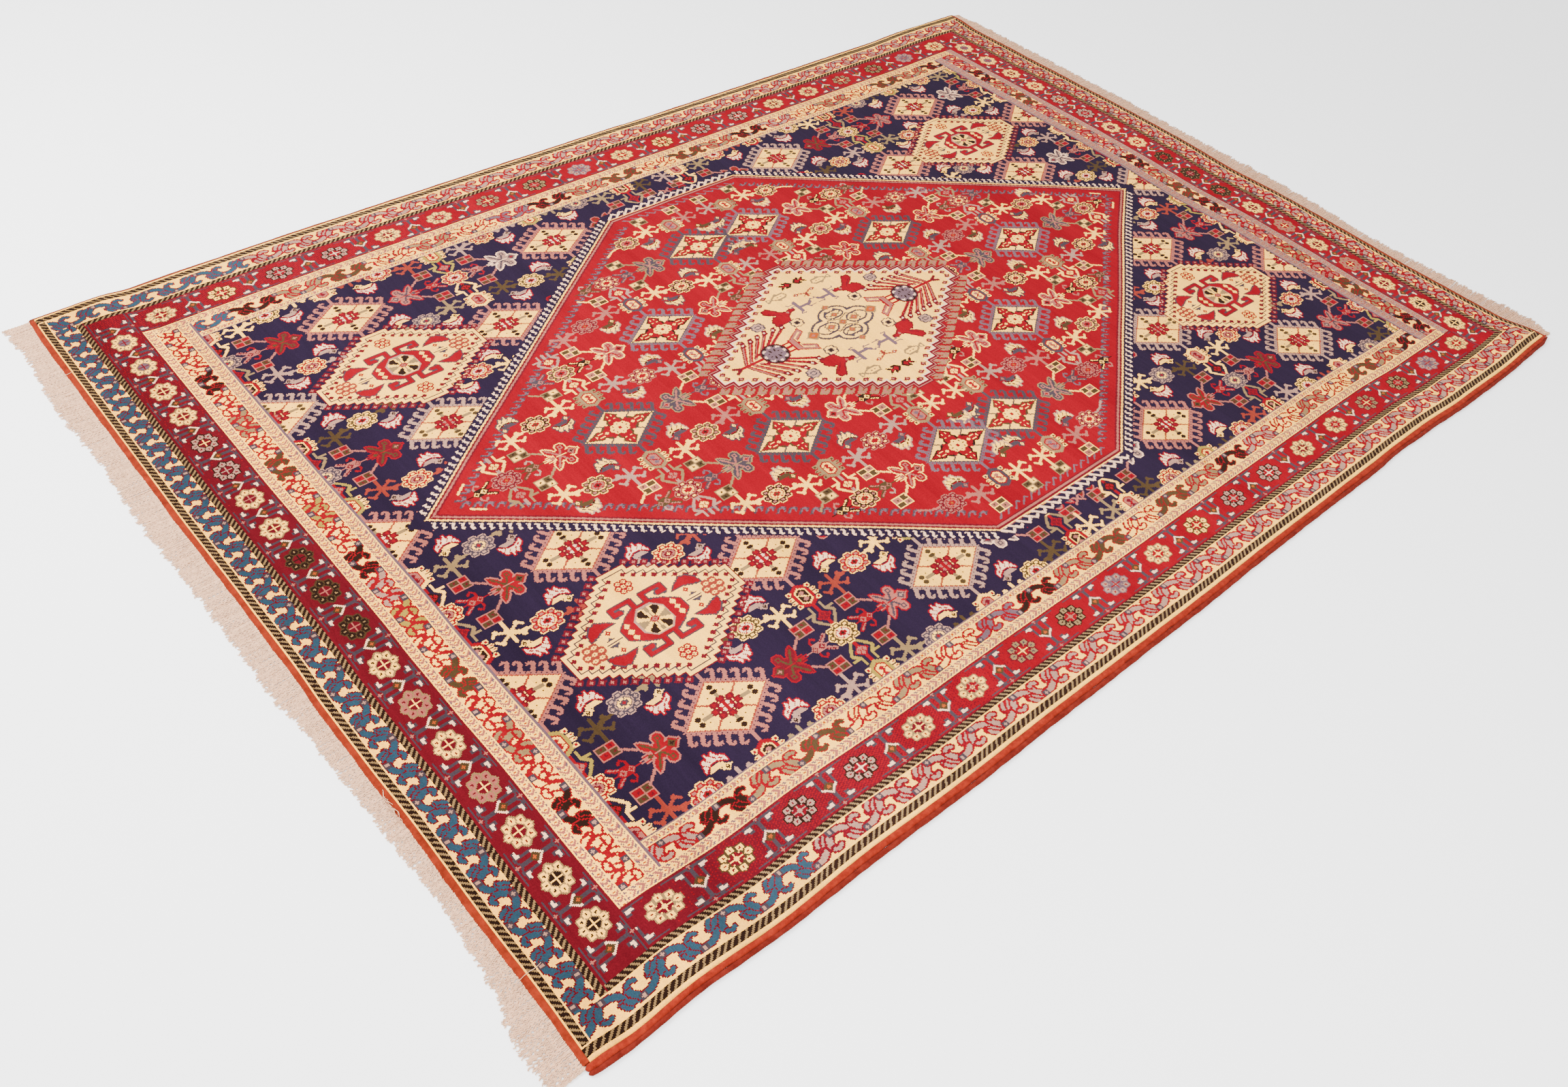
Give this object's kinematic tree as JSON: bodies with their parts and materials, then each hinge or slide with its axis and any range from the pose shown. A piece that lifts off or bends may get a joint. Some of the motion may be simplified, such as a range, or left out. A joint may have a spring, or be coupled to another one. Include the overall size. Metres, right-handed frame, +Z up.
{
  "type": "persian rug",
  "caption": "Flat hand-knotted wool rug with a wide patterned border, overcast long edges, flat-woven end bands and a cream fringe at both ends.",
  "frame": {"origin": "middle of the flat underside, on the floor, fringes included", "axes": "+X along the length from the near fringe to the far fringe, +Y towards the far long side, +Z up out of the pile"},
  "size_m": [3.054, 2.1169, 0.0122],
  "materials": {
    "pile": "short clipped wool pile, matte with a soft sheen",
    "selvedge": "tightly overcast orange wool",
    "end_band": "flat-woven orange wool",
    "fringe": "cream plied warp yarn, crimped"
  },
  "bodies": {
    "root": {"rug_body": "pile", "selvedge_near_side": "selvedge", "selvedge_far_side": "selvedge", "end_band_near": "end_band", "end_band_far": "end_band", "fringe_near": "fringe", "fringe_far": "fringe"}
  },
  "joints": []
}
